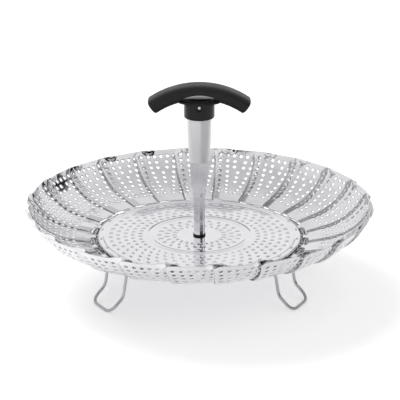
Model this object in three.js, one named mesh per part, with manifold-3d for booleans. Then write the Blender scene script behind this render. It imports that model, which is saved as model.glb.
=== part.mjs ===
// Folding steamer basket: a perforated plate on three wire legs, with 24 hinged petals that overlap like a
// pinwheel and a centre post that telescopes. Millimetres, +Z up, origin on the floor under the post.
import * as THREE from "three";
import { mergeVertices } from "three/addons/utils/BufferGeometryUtils.js";
import Module from "manifold-3d";

const wasm = await Module();
wasm.setup();

// Shared clearances
const clearance = 0.3;
const cutOverrun = 1;
const punchLength = 25;
const mergeTolerance = 1e-4;

// Plate
const plateHeight = 40;
const plateRadius = 75;
const plateWall = 0.8;
const borderWidth = 5;
const borderRise = 0.8;
const borderRun = 1.5;
const edgeRounding = 1.2;
const skirtDepth = 4.4;
const ringInnerRadius = 33.5;
const ringOuterRadius = 39.5;
const ringRise = 0.7;
const plateHoleHalfWidth = 1.7;
const plateHoleSpacing = 22;
const plateHoleCircleShares = [0.27, 0.68, 0.86];

// Petals
const petalCount = 24;
const petalWall = 0.5;
const shankLength = 15.5;
const shankSlope = 11.3;
const bendRadius = 44.4;
const tipSlope = 63.5;
const rootOverTop = 1;
const rootOverTucked = 0.8;
const rimOverTop = 4.2;
const rimOverTucked = 6.8;
const rootRollShare = 0.05;
const rimRollShare = 0.08;
const rimCrossRadius = 100;
const topCornerDrop = 7;
const tuckedCornerDrop = 3.5;
const petalHoleHalfWidth = 1.9;

// Petal hinge
const hingeGap = 2.6;
const hingeDrop = 2.6;
const hingeWireRadius = 0.9;
const hingeSkew = -4;
const curlWidth = 6;
const curlPlay = 0.35;
const curlTurn = 240;
const rootSetback = 2.4;
const rootRise = 1.36;
const tabWidth = 3;
const tabWall = 0.6;
const tabLip = 1;
const slotWidth = 3.6;
const slotDepth = 1.8;

// Post
const rodRadius = 4.1;
const rodFootRadius = 6.5;
const rodFootHeight = 1;
const rodSpigotRadius = 2.8;
const rodSpigotLength = 4.4;
const stopHeadHeight = 2.8;
const stopHeadRadius = 5.4;
const nutRadius = 6.2;
const nutHeight = 2.8;
const middleRadius = 6.35;
const middleWall = 0.6;
const middleNeckWall = 0.5;
const middleTaperHeight = 6;
const outerRadius = 8.7;
const outerWall = 0.6;
const outerNeckLength = 8.2;
const outerShoulderHeight = 1.6;
const rodShownLength = 31;
const middleShownLength = 26.5;
const outerShownLength = 34.3;

// Grip
const collarRadius = 11.1;
const collarHeight = 10.2;
const collarRounding = 2.4;
const flangeHalfWidth = 17;
const flangeHalfDepth = 11.1;
const flangeHeight = 2.4;
const domeHalfWidth = 11.5;
const domeRise = 0.7;
const pinRadius = 1.2;
const pinRecessRadius = 2.5;
const pinRecessDepth = 1;
const pinRise = 8.6;
const archMidRadius = 50.2;
const archThickness = 7.4;
const archDepth = 18;
const archSpan = 44;
const archGapHeight = 6;
const archEndRounding = 1.2;
const archSquareness = 0.5;
const lugWidth = 3.2;
const lugDepth = 9;

// Legs
const legCount = 3;
const legAzimuth = 61.5;
const legWireRadius = 1.15;
const legInset = 7;
const legPivotDrop = 5.2;
const legHalfWidth = 13.5;
const legNeckLength = 24;
const legNeckSplay = 10.4;
const legFootOut = 11;
const legBendRadius = 3;
const legCornerRadius = 8;
const legCrossGap = 1;
const footFlat = 0.2;
const clipWidth = 17;
const clipWall = 0.8;
const clipLugLength = 3;
const stopOverlapLength = 1;
const stopDrop = 5;

// Facets round a turn
const plateSides = 48;
const tubeSides = 18;
const wireSides = 6;

const up = new THREE.Vector3(0, 0, 1);
const radians = THREE.MathUtils.degToRad;
const steel = { color: 0xd4d6d9, roughness: 0.22, metalness: 1 };
const satinSteel = { color: 0xc4c6ca, roughness: 0.35, metalness: 1 };
const blackGrip = { color: 0x1b1c1f, roughness: 0.6, metalness: 0 };
const blackPlastic = { color: 0x141416, roughness: 0.4, metalness: 0 };

function solid(geometry) {
  const bare = geometry.clone();
  bare.deleteAttribute("normal");
  bare.deleteAttribute("uv");
  const merged = mergeVertices(bare, mergeTolerance);
  const vertProperties = new Float32Array(merged.attributes.position.array);
  const triVerts = new Uint32Array(merged.index.array);
  return new wasm.Manifold(new wasm.Mesh({ numProp: 3, vertProperties, triVerts }));
}

function geometryOf(manifold) {
  const { vertProperties, triVerts } = manifold.getMesh();
  const geometry = new THREE.BufferGeometry();
  geometry.setAttribute("position", new THREE.BufferAttribute(vertProperties, 3));
  geometry.setIndex(new THREE.BufferAttribute(triVerts, 1));
  geometry.computeVertexNormals();
  return geometry;
}

// A closed body through rings of the same number of points, capped by strips across its two end rings.
function loft(rings) {
  const count = rings[0].length;
  const last = (rings.length - 1) * count;
  const positions = rings.flat().flatMap((point) => point.toArray());
  const faces = [];
  for (let row = 0; row + 1 < rings.length; row += 1) {
    for (let step = 0; step < count; step += 1) {
      const near = row * count + step;
      const beside = row * count + ((step + 1) % count);
      if (step < count / 2) {
        faces.push(near, beside, beside + count, near, beside + count, near + count);
      } else {
        faces.push(near, beside, near + count, beside, beside + count, near + count);
      }
    }
  }
  for (let step = 0; step < count / 2 - 1; step += 1) {
    const far = count - 1 - step;
    faces.push(step, far, far - 1, step, far - 1, step + 1);
    faces.push(last + step, last + far - 1, last + far, last + step, last + step + 1, last + far - 1);
  }
  const geometry = new THREE.BufferGeometry();
  geometry.setAttribute("position", new THREE.Float32BufferAttribute(positions, 3));
  geometry.setIndex(signedVolume(positions, faces) < 0 ? faces.reverse() : faces);
  geometry.computeVertexNormals();
  return geometry;
}

function signedVolume(positions, faces) {
  const corner = (index) => new THREE.Vector3().fromArray(positions, 3 * index);
  let sum = 0;
  for (let face = 0; face < faces.length; face += 3) {
    sum += corner(faces[face]).dot(corner(faces[face + 1]).cross(corner(faces[face + 2])));
  }
  return sum / 6;
}

// A turned body about +Z from an outline of [radius, height] pairs.
function turned(outline, sides, start = 0) {
  const points = outline.map(([radius, height]) => new THREE.Vector2(radius, height));
  const closed = outline[0][0] === 0 ? points : [...points, points[0]];
  const geometry = new THREE.LatheGeometry(closed, sides, start);
  geometry.rotateX(Math.PI / 2);
  return signedTurned(geometry);
}

function signedTurned(geometry) {
  const merged = mergeVertices(stripped(geometry), mergeTolerance);
  const faces = Array.from(merged.index.array);
  const kept = [];
  for (let face = 0; face < faces.length; face += 3) {
    const [one, two, three] = faces.slice(face, face + 3);
    if (one !== two && two !== three && three !== one) {
      kept.push(one, two, three);
    }
  }
  const positions = Array.from(merged.attributes.position.array);
  merged.setIndex(signedVolume(positions, kept) < 0 ? kept.reverse() : kept);
  return merged;
}

function stripped(geometry) {
  geometry.deleteAttribute("normal");
  geometry.deleteAttribute("uv");
  return geometry;
}

// A flat outline in the radial plane, drawn outwards and up, given a width along the tangent.
function pressed(outline, width) {
  const shape = new THREE.Shape(outline.map(([out, high]) => new THREE.Vector2(out, high)));
  const geometry = new THREE.ExtrudeGeometry(shape, { depth: width, bevelEnabled: false });
  geometry.translate(0, 0, -width / 2);
  geometry.rotateX(Math.PI / 2);
  return geometry;
}

function block(x, y, z) {
  return new THREE.BoxGeometry(x, y, z);
}

// A four-sided punch along +Z, pointed far above the sheet that it goes through, so its walls are near upright
function punch(halfX, halfY, wall) {
  const foot = wall + cutOverrun;
  const tool = new THREE.ConeGeometry(Math.SQRT2, punchLength, 4);
  tool.rotateY(Math.PI / 4);
  tool.translate(0, punchLength / 2, 0);
  tool.rotateX(Math.PI / 2);
  tool.scale(halfX, halfY, 1);
  tool.translate(0, 0, -foot);
  return tool;
}

function part(name, geometry, look) {
  const shaded = geometry.attributes.normal ? geometry : geometry.clone();
  shaded.computeVertexNormals();
  const mesh = new THREE.Mesh(shaded, new THREE.MeshStandardMaterial(look));
  mesh.name = name;
  return mesh;
}

function around(index, count, offset = 0) {
  return (2 * Math.PI * index) / count + offset;
}

// Plate: ring and raised border pressed in, skirt turned down, slots and wire tabs between the petals
const borderRadius = plateRadius - borderWidth;
const hingeRadius = plateRadius + hingeGap;
const halfPitch = Math.PI / petalCount;
const hingeCorner = hingeRadius / Math.cos(halfPitch);

function platePress() {
  const bore = rodSpigotRadius + clearance;
  const ringMiddle = (ringInnerRadius + ringOuterRadius) / 2;
  const borderStart = borderRadius + borderRun;
  const top = [
    [bore, 0],
    [ringInnerRadius, 0],
    [ringMiddle, ringRise],
    [ringOuterRadius, 0],
    [borderRadius, 0],
    [borderStart, borderRise],
    [plateRadius - edgeRounding, borderRise],
    [plateRadius, borderRise - edgeRounding],
    [plateRadius, -skirtDepth],
  ];
  const under = [
    [plateRadius - plateWall, -skirtDepth],
    [plateRadius - plateWall, borderRise - edgeRounding - plateWall / 2],
    [plateRadius - edgeRounding, borderRise - plateWall],
    [borderStart, borderRise - plateWall],
    [borderRadius, -plateWall],
    [ringOuterRadius, -plateWall],
    [ringMiddle, ringRise - plateWall],
    [ringInnerRadius, -plateWall],
    [bore, -plateWall],
  ];
  return solid(turned([...top, ...under], plateSides));
}

function wireTab() {
  const reach = hingeWireRadius + clearance;
  const inner = plateRadius - plateWall;
  const low = -hingeDrop - reach - tabWall;
  const outside = hingeCorner + reach + tabWall;
  const outline = [
    [inner, low],
    [outside, low],
    [outside, -hingeDrop + tabLip],
    [outside - tabWall, -hingeDrop + tabLip],
    [outside - tabWall, low + tabWall],
    [plateRadius, low + tabWall],
    [inner, low + 2 * tabWall],
  ];
  return pressed(outline, tabWidth);
}

function basePlate() {
  let plate = platePress();
  const rise = plateWall + borderRise;
  for (let index = 0; index < petalCount; index += 1) {
    const turn = THREE.MathUtils.radToDeg(around(index, petalCount, halfPitch));
    const slot = punch(slotDepth / 2, slotWidth / 2, rise);
    slot.translate(borderRadius + borderRun + slotDepth / 2, 0, 0);
    plate = plate.subtract(solid(slot).rotate([0, 0, turn])).add(solid(wireTab()).rotate([0, 0, turn]));
  }
  for (const share of plateHoleCircleShares) {
    const radius = share * borderRadius;
    const count = Math.floor((2 * Math.PI * radius) / plateHoleSpacing);
    for (let index = 0; index < count; index += 1) {
      const hole = punch(plateHoleHalfWidth, plateHoleHalfWidth, plateWall);
      hole.translate(radius, 0, 0);
      plate = plate.subtract(solid(hole).rotate([0, 0, (360 * index) / count]));
    }
  }
  return part("base_plate", geometryOf(plate), steel);
}

function hingeWire() {
  const section = [];
  for (let step = 0; step < wireSides; step += 1) {
    const angle = around(step, wireSides);
    section.push([hingeCorner + hingeWireRadius * Math.cos(angle), hingeWireRadius * Math.sin(angle)]);
  }
  const wire = part("hinge_wire", turned(section, petalCount, Math.PI / 2 + halfPitch), satinSteel);
  wire.position.z = -hingeDrop;
  return wire;
}

// Petal: a straight shank and one bend along its length, a roll and a hollow across it, in its hinge's frame
const bendTurn = radians(tipSlope - shankSlope);
const petalLength = shankLength + bendRadius * bendTurn;

function petalProfile(along) {
  const start = radians(shankSlope);
  if (along <= shankLength) {
    const out = rootSetback + along * Math.cos(start);
    return { out, high: rootRise + along * Math.sin(start), slope: start };
  }
  const slope = start + (along - shankLength) / bendRadius;
  const out = rootSetback + shankLength * Math.cos(start) + bendRadius * (Math.sin(slope) - Math.sin(start));
  const high = rootRise + shankLength * Math.sin(start) + bendRadius * (Math.cos(start) - Math.cos(slope));
  return { out, high, slope };
}

function petalPoint(along, across, lift) {
  const share = along / petalLength;
  const { out, high, slope } = petalProfile(along);
  const roll = THREE.MathUtils.lerp(rootRollShare, rimRollShare, share);
  const hollow = (share * across * across) / (2 * rimCrossRadius);
  const rise = roll * across + hollow + lift;
  return new THREE.Vector3(out - Math.sin(slope) * rise, across, high + Math.cos(slope) * rise);
}

function petalHalves(along) {
  const share = along / petalLength;
  const half = (hingeRadius + petalProfile(along).out) * Math.tan(halfPitch);
  return {
    top: half + THREE.MathUtils.lerp(rootOverTop, rimOverTop, share),
    tucked: half + THREE.MathUtils.lerp(rootOverTucked, rimOverTucked, share),
  };
}

// Facets: two halves on each side of the petal's middle, and the bend in even steps
const petalColumns = [
  { share: -1, drop: tuckedCornerDrop },
  { share: -0.5, drop: 0 },
  { share: 0, drop: 0 },
  { share: 0.5, drop: 0 },
  { share: 1, drop: topCornerDrop },
];
const bendFacets = 4;

function petalGrid(lift) {
  const stations = [0];
  for (let step = 0; step <= bendFacets; step += 1) {
    stations.push((shankLength + (step / bendFacets) * (petalLength - shankLength)) / petalLength);
  }
  return stations.map((station) =>
    petalColumns.map(({ share, drop }) => {
      const along = station * (petalLength - drop);
      const halves = petalHalves(along);
      const across = share > 0 ? share * halves.top : share * halves.tucked;
      return petalPoint(along, across, lift);
    }),
  );
}

function petalSheet() {
  const above = petalGrid(petalWall / 2);
  const below = petalGrid(-petalWall / 2);
  return solid(loft(above.map((row, index) => [...row, ...below[index].reverse()])));
}

// A hole square through one triangular facet, about the middle of the largest circle that the facet holds
function facetHole(one, two, three) {
  const sides = [two.distanceTo(three), three.distanceTo(one), one.distanceTo(two)];
  const girth = sides[0] + sides[1] + sides[2];
  const centre = new THREE.Vector3();
  [one, two, three].forEach((corner, index) => centre.addScaledVector(corner, sides[index] / girth));
  const normal = two.clone().sub(one).cross(three.clone().sub(one)).normalize();
  const hole = punch(petalHoleHalfWidth, petalHoleHalfWidth, petalWall);
  hole.applyQuaternion(new THREE.Quaternion().setFromUnitVectors(up, normal));
  hole.translate(centre.x, centre.y, centre.z);
  return solid(hole);
}

function petalCurl() {
  const skewPlay = (curlWidth / 2) * Math.tan(Math.abs(radians(hingeSkew)));
  const facets = 4;
  const turn = radians(curlTurn);
  const flat = Math.cos(turn / facets / 2);
  const inner = (hingeWireRadius + curlPlay + skewPlay) / flat;
  const outer = inner + petalWall / flat;
  const arc = (radius, from, to) => {
    const points = [];
    for (let step = 0; step <= facets; step += 1) {
      const angle = THREE.MathUtils.lerp(from, to, step / facets);
      points.push([radius * Math.cos(angle), radius * Math.sin(angle)]);
    }
    return points;
  };
  const start = Math.PI / 2 - turn / facets / 2;
  const root = petalPoint(0, 0, 0);
  const inside = petalPoint(shankLength / 10, 0, 0);
  const outline = [
    [inside.x, inside.z + petalWall / 2],
    [root.x, root.z + petalWall / 2],
    ...arc(outer, start, start + turn),
    ...arc(inner, start + turn, start),
    [root.x, root.z - petalWall / 2],
    [inside.x, inside.z - petalWall / 2],
  ];
  const curl = pressed(outline, curlWidth);
  curl.rotateZ(-radians(hingeSkew));
  return solid(curl);
}

function petalGeometry() {
  let petal = petalSheet();
  const grid = petalGrid(0);
  for (let row = 2; row <= bendFacets; row += 1) {
    for (const column of [1, 2]) {
      const [near, beside] = [grid[row][column], grid[row][column + 1]];
      const [far, farBeside] = [grid[row + 1][column], grid[row + 1][column + 1]];
      petal = petal.subtract(column === 1 ? facetHole(near, farBeside, far) : facetHole(near, beside, farBeside));
    }
  }
  return geometryOf(petal.add(petalCurl()));
}

// Post: a fixed rod, a middle tube and an outer tube, each caught by the stop head of the one below
const middleBottom = rodShownLength;
const outerBottom = middleBottom + middleShownLength;
const collarBottom = outerBottom + outerShownLength;
const headSeat = middleTaperHeight + clearance;
const rodTop = middleBottom + headSeat + stopHeadHeight;
const shoulderTop = outerBottom + outerNeckLength + outerShoulderHeight;
const middleTop = shoulderTop + clearance + stopHeadHeight;
const boreTop = collarBottom + collarHeight + flangeHeight / 2;
const middleBore = middleRadius - middleWall;
const outerNeckBore = middleRadius + clearance;
const outerBore = outerRadius - outerWall;

function postRod() {
  const outline = [
    [0, -rodSpigotLength],
    [rodSpigotRadius, -rodSpigotLength],
    [rodSpigotRadius, 0],
    [rodFootRadius, 0],
    [rodFootRadius, rodFootHeight],
    [rodRadius, rodFootHeight],
    [rodRadius, rodTop - stopHeadHeight],
    [stopHeadRadius, rodTop - stopHeadHeight],
    [stopHeadRadius, rodTop],
    [0, rodTop],
  ];
  return part("post_rod", turned(outline, tubeSides), steel);
}

function postNut() {
  const bore = (rodSpigotRadius + clearance) / Math.cos(Math.PI / 6);
  const outline = [
    [bore, -plateWall - nutHeight],
    [nutRadius, -plateWall - nutHeight],
    [nutRadius, -plateWall],
    [bore, -plateWall],
  ];
  return part("post_nut", turned(outline, 6), satinSteel);
}

function middleTube() {
  const neckBore = rodRadius + clearance;
  const headRadius = outerBore - clearance;
  const headFoot = middleTop - stopHeadHeight;
  const outline = [
    [neckBore, middleBottom],
    [neckBore + middleNeckWall, middleBottom],
    [middleRadius, middleBottom + middleTaperHeight],
    [middleRadius, headFoot],
    [headRadius, headFoot],
    [headRadius, middleTop],
    [middleBore, middleTop],
    [middleBore, middleBottom + middleTaperHeight],
    [neckBore, middleBottom + middleTaperHeight - middleWall],
  ];
  return part("middle_tube", turned(outline, tubeSides), steel);
}

function outerTube(pinHoles) {
  const top = boreTop - clearance;
  const neckTop = outerBottom + outerNeckLength;
  const outline = [
    [outerNeckBore, outerBottom],
    [outerNeckBore + outerWall, outerBottom],
    [outerNeckBore + outerWall, neckTop],
    [outerRadius, shoulderTop],
    [outerRadius, top],
    [outerBore, top],
    [outerBore, shoulderTop],
    [outerNeckBore, shoulderTop - outerWall],
  ];
  return part("outer_tube", geometryOf(solid(turned(outline, tubeSides)).subtract(pinHoles)), steel);
}

// Grip: collar with an oval flange, two cross pins, and the arch on its two lugs
const collarTop = collarBottom + collarHeight;
const flangeTop = collarTop + flangeHeight;
const pinHeight = collarBottom + pinRise;
const archCentre = flangeTop + archGapHeight + archThickness / 2 - archMidRadius;

function pinBar(radius, from, to) {
  const bar = new THREE.CylinderGeometry(radius, radius, to - from, 8);
  bar.rotateY(Math.PI / 8);
  bar.translate(0, (from + to) / 2, 0);
  return bar;
}

function pinHoles() {
  const reach = collarRadius + cutOverrun;
  const through = solid(pinBar(pinRadius + clearance, -reach, reach));
  return through.translate([0, 0, pinHeight]);
}

function collarBody() {
  const outline = [
    [0, collarBottom],
    [collarRadius - collarRounding, collarBottom],
    [collarRadius - collarRounding / 4, collarBottom + collarRounding / 4],
    [collarRadius, collarBottom + collarRounding],
    [collarRadius, flangeTop],
    [0, flangeTop],
  ];
  return solid(turned(outline, tubeSides));
}

function collarFlange() {
  const outline = [
    [0, collarTop],
    [flangeHalfWidth - flangeHeight / 3, collarTop],
    [flangeHalfWidth, collarTop + flangeHeight / 2],
    [flangeHalfWidth - flangeHeight / 4, flangeTop],
    [domeHalfWidth, flangeTop],
    [domeHalfWidth / 2, flangeTop + domeRise * 0.75],
    [0, flangeTop + domeRise],
  ];
  const oval = turned(outline, tubeSides);
  oval.scale(1, flangeHalfDepth / flangeHalfWidth, 1);
  return solid(oval);
}

function boreCut() {
  const outline = [
    [0, collarBottom],
    [outerRadius + clearance, collarBottom],
    [outerRadius + clearance, boreTop],
    [0, boreTop],
  ];
  return turned(outline, tubeSides);
}

function gripCollar() {
  const bore = solid(boreCut());
  let collar = collarBody().add(collarFlange()).subtract(bore).subtract(pinHoles());
  const recess = pinBar(pinRecessRadius, collarRadius - pinRecessDepth, collarRadius + cutOverrun);
  const back = solid(recess).translate([0, 0, pinHeight]);
  collar = collar.subtract(back).subtract(back.mirror([0, 1, 0]));
  return part("grip_collar", geometryOf(collar), blackPlastic);
}

function gripPin(name, side) {
  const outer = collarRadius - pinRecessDepth + clearance;
  const pin = part(name, pinBar(pinRadius, outerBore, outer), steel);
  pin.rotation.z = side;
  pin.position.z = pinHeight;
  return pin;
}

function gripArch() {
  const corners = 12;
  const stations = [-1, -0.985, -0.93, -0.75, -0.5, -0.25, 0, 0.25, 0.5, 0.75, 0.93, 0.985, 1];
  const span = radians(archSpan);
  const rings = stations.map((station) => {
    const angle = station * span;
    const fromEnd = (1 - Math.abs(station)) * span * archMidRadius;
    const inset = Math.max(archEndRounding - fromEnd, 0);
    const shrink = archEndRounding - Math.sqrt(Math.max(archEndRounding ** 2 - inset ** 2, 0));
    const ring = [];
    for (let step = 0; step < corners; step += 1) {
      const turn = around(step + 0.5, corners);
      const square = (value) => Math.sign(value) * Math.abs(value) ** archSquareness;
      const across = (archDepth / 2 - shrink) * square(Math.cos(turn));
      const out = archMidRadius + (archThickness / 2 - shrink) * square(Math.sin(turn));
      ring.push(new THREE.Vector3(out * Math.sin(angle), across, archCentre + out * Math.cos(angle)));
    }
    return ring;
  });
  let arch = solid(loft(rings));
  const lugTop = archCentre + archMidRadius;
  for (const side of [-1, 1]) {
    const lug = block(lugWidth, lugDepth, lugTop - flangeTop);
    const middle = flangeHalfWidth - flangeHeight - lugWidth / 2;
    lug.translate(side * middle, 0, (lugTop + flangeTop) / 2);
    arch = arch.add(solid(lug));
  }
  return part("grip_arch", geometryOf(arch), blackGrip);
}

// Leg: one wire, bent to a cross bar, two splayed necks and a foot that turns out and closes on the floor
function roundedPath(corners, radii, facets) {
  const points = [corners[0]];
  for (let index = 1; index + 1 < corners.length; index += 1) {
    const before = corners[index - 1].clone().sub(corners[index]).normalize();
    const after = corners[index + 1].clone().sub(corners[index]).normalize();
    const start = corners[index].clone().addScaledVector(before, radii[index]);
    const end = corners[index].clone().addScaledVector(after, radii[index]);
    const bend = new THREE.QuadraticBezierCurve3(start, corners[index], end);
    points.push(...bend.getPoints(facets));
  }
  points.push(corners[corners.length - 1]);
  return points;
}

function wireAlong(points, radius, sides) {
  const tangents = points.map((point, index) => {
    const next = points[Math.min(index + 1, points.length - 1)];
    const last = points[Math.max(index - 1, 0)];
    return next.clone().sub(last).normalize();
  });
  let normal = new THREE.Vector3(0, 0, 1).cross(tangents[0]).cross(tangents[0]).normalize();
  const rings = points.map((point, index) => {
    const along = tangents[index];
    normal = normal.clone().addScaledVector(along, -normal.dot(along)).normalize();
    const binormal = along.clone().cross(normal);
    const ring = [];
    for (let step = 0; step < sides; step += 1) {
      const turn = around(step, sides);
      const corner = point.clone().addScaledVector(normal, radius * Math.cos(turn));
      ring.push(corner.addScaledVector(binormal, radius * Math.sin(turn)));
    }
    return ring;
  });
  return loft(rings);
}

const legPivotRadius = plateRadius - legInset;
const floor = legPivotDrop - plateHeight;
const legAxisFloor = floor + legWireRadius - footFlat;

function legCorners() {
  const neckOut = legNeckLength * Math.tan(radians(legNeckSplay));
  const half = [
    new THREE.Vector3(0, legCrossGap / 2, 0),
    new THREE.Vector3(0, legHalfWidth, 0),
    new THREE.Vector3(neckOut, legHalfWidth, -legNeckLength),
    new THREE.Vector3(neckOut + legFootOut, legHalfWidth, legAxisFloor),
  ];
  const mirrored = half.map((corner) => new THREE.Vector3(corner.x, -corner.y, corner.z)).reverse();
  return [...half, ...mirrored];
}

function legGeometry() {
  const radii = [0, legBendRadius, legBendRadius, legCornerRadius, legCornerRadius, legBendRadius, legBendRadius];
  const wire = solid(wireAlong(roundedPath(legCorners(), radii, 2), legWireRadius, wireSides));
  const slab = block(2 * plateRadius, 2 * plateRadius, 2 * legWireRadius);
  slab.translate(0, 0, floor - legWireRadius);
  return geometryOf(wire.subtract(solid(slab)));
}

function legClip() {
  const inside = legWireRadius + clearance;
  const outside = inside + clipWall;
  const lugHigh = legPivotDrop - plateWall;
  const seat = lugHigh - clipWall;
  const saddle = [
    [-outside - clipLugLength, lugHigh],
    [-outside - clipLugLength, seat],
    [-outside, seat],
    [-outside, -outside / 2],
    [-outside / 2, -outside],
    [outside / 2, -outside],
    [outside, -outside / 2],
    [outside, seat],
    [outside + clipLugLength, seat],
    [outside + clipLugLength, lugHigh],
    [inside, lugHigh],
    [inside, -inside / 2],
    [inside / 2, -inside],
    [-inside / 2, -inside],
    [-inside, -inside / 2],
    [-inside, lugHigh],
  ];
  const stopOut = legWireRadius / Math.cos(radians(legNeckSplay)) + clearance;
  const lean = stopDrop * Math.tan(radians(legNeckSplay));
  const stop = [
    [stopOut + clipWall, lugHigh],
    [stopOut + lean, -stopDrop],
    [stopOut + lean + clipWall, -stopDrop],
    [stopOut + lean + clipWall, lugHigh],
  ];
  const stopWidth = 2 * (legHalfWidth + legWireRadius + stopOverlapLength);
  return geometryOf(solid(pressed(saddle, clipWidth)).add(solid(pressed(stop, stopWidth))));
}

// Assembly
const basket = new THREE.Group();
const body = new THREE.Group();
body.position.z = plateHeight;
basket.add(body);
body.add(basePlate(), hingeWire(), postRod(), postNut(), middleTube(), outerTube(pinHoles()));
body.add(gripCollar(), gripPin("grip_pin_front", Math.PI), gripPin("grip_pin_back", 0), gripArch());

const petalShape = petalGeometry();
for (let index = 0; index < petalCount; index += 1) {
  const place = new THREE.Group();
  place.rotation.z = around(index, petalCount);
  const petal = part(`petal_${String(index + 1).padStart(2, "0")}`, petalShape, steel);
  petal.position.set(hingeRadius, 0, -hingeDrop);
  place.add(petal);
  body.add(place);
}

const legShape = legGeometry();
const clipShape = legClip();
for (let index = 0; index < legCount; index += 1) {
  const place = new THREE.Group();
  place.rotation.z = -Math.PI / 2 + radians(legAzimuth) + around(index, legCount);
  const leg = part(`leg_${index + 1}`, legShape, satinSteel);
  const clip = part(`leg_clip_${index + 1}`, clipShape, satinSteel);
  for (const piece of [leg, clip]) {
    piece.position.set(legPivotRadius, 0, -legPivotDrop);
    place.add(piece);
  }
  body.add(place);
}

export default basket;
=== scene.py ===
"""Folding steamer basket: perforated petals, a pressed plate, a sliding post, a black grip and wire legs."""

import math

import bmesh
import bpy
import numpy as np
from bpy.props import FloatProperty, FloatVectorProperty, IntProperty, PointerProperty
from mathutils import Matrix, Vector


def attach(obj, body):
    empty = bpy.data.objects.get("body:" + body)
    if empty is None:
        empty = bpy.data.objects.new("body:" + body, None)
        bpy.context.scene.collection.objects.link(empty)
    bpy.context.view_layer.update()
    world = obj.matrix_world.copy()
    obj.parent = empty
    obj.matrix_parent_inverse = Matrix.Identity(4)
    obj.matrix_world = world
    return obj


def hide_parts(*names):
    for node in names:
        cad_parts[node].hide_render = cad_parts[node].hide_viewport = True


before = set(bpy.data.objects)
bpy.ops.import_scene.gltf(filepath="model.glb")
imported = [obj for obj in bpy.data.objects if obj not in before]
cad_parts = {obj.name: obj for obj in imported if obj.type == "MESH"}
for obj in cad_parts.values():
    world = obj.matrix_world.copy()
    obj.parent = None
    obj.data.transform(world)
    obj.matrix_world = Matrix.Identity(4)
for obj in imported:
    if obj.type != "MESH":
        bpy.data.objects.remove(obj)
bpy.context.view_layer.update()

bl_info = {
    "name": "Folding steamer basket",
    "version": (1, 0, 0),
    "blender": (4, 5, 0),
    "location": "3D View > Sidebar > Steamer",
    "description": "Dresses the steamer basket's plate, petals, post, grip and legs, and sets up its studio",
    "category": "Object",
}

MM = 0.001
FULL_TURN = 2 * math.pi
PLATE_TOP = 0.040
HINGE_HEIGHT = 0.0374
HINGE_RADIUS = 0.0776
# Sides of a turned piece, and the angle past which its edges are sharp
SIDES = 96
SHARP = math.radians(50)
# Share of its radius that a ring of eight points keeps once it is smoothed: 2/3 + cos 45 / 3
SMOOTHED = 0.902
# Half the floor's side, how much it is lifted where it is seen, and how strong the world is as a light
FLOOR_HALF, FLOOR_LIFT, WORLD_LIGHT = 6, 0.39, 0.42
# Where the studio's white starts to fall overhead, where it stops, and what is left of it
FALL_START, FALL_END, OVERHEAD = 0.42, 0.95, 0.72
# Lamps: place, side and power
LAMPS = {"key lamp": ((-0.75, 0.55, 1.5), 1.1, 17), "fill lamp": ((0.9, -0.9, 1.1), 1.2, 5)}
LAMP_TARGET = (0, 0, 0.05)
WHITE = (1, 1, 1, 1)
# Dark cards: azimuth, elevation, width and height in degrees, as seen from the middle of the set
DARK_CARDS = {
    "dark card back": (43, 19, 20, 17),
    "dark card side": (-44, 13, 66, 27),
    "dark card low": (-14, 7, 66, 19),
}
# The camera's angle over the plate, and its distance
CAMERA_LIFT = math.radians(21)
CAMERA_AWAY = 1.3
# Rows of the plate's holes: radius in millimetres, holes, and grid cells from a hole's middle to its edge
PLATE_ROWS = (
    (18.0, 24, 3), (24.0, 24, 2), (29.3, 24, 2),
    (43.7, 48, 1), (49.1, 48, 1), (54.5, 48, 1), (59.9, 48, 1), (65.3, 48, 1),
)
# Further circles of the plate's grid, in millimetres
PLATE_CIRCLES = (
    3.1, 6.0, 9.0, 12.0, 15.0, 33.0, 34.2, 35.4, 36.5, 37.6, 38.8, 40.0, 46.4, 51.8, 57.2, 62.6, 68.4, 69.6,
    70.2, 70.9, 71.6, 72.4, 73.3,
)
# Radius and height over the plate, in millimetres, of its turned-down edge and of the lip under the petals
PLATE_EDGE = (
    (73.9, 0.78), (74.45, 0.6), (74.85, 0.2), (75.0, -0.4), (75.0, -2.2), (75.0, -3.8),
    (75.25, -4.5), (76.0, -4.75), (79.1, -4.75), (79.9, -4.4), (80.2, -3.7), (80.3, -2.9),
)


def length(name, description, default):
    """A length property in metres."""
    return FloatProperty(
        name=name, description=description, default=default, min=0.0, unit="LENGTH", precision=5
    )


def slant(name, description, degrees):
    """An angle, its default given in degrees."""
    return FloatProperty(name=name, description=description, default=math.radians(degrees), unit="ROTATION")


def share(name, description, default):
    """A plain number from nought to one."""
    return FloatProperty(name=name, description=description, default=default, min=0.0, max=1.0)


def colour(name, description, default):
    """A linear colour."""
    return FloatVectorProperty(
        name=name, description=description, default=default, size=3, min=0.0, max=1.0, subtype="COLOR"
    )


class PlateSettings(bpy.types.PropertyGroup):
    """Sizes of the pressed plate."""

    border: length("Border radius", "Where the plate steps up to its border", 0.070)
    border_rise: length("Border rise", "Height of the step", 0.0008)
    wall: length("Sheet", "Thickness of the plate's steel", 0.0008)
    bead_inside: length("Bead inside", "Inner radius of the pressed ring", 0.0335)
    bead_outside: length("Bead outside", "Outer radius of the pressed ring", 0.0395)
    bead_rise: length("Bead rise", "Height of the pressed ring", 0.0007)
    hole: length("Hole", "Radius of the plate's small holes", 0.00055)
    sectors: IntProperty(name="Sectors", description="Grid cells round the plate", default=192, min=48)


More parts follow.
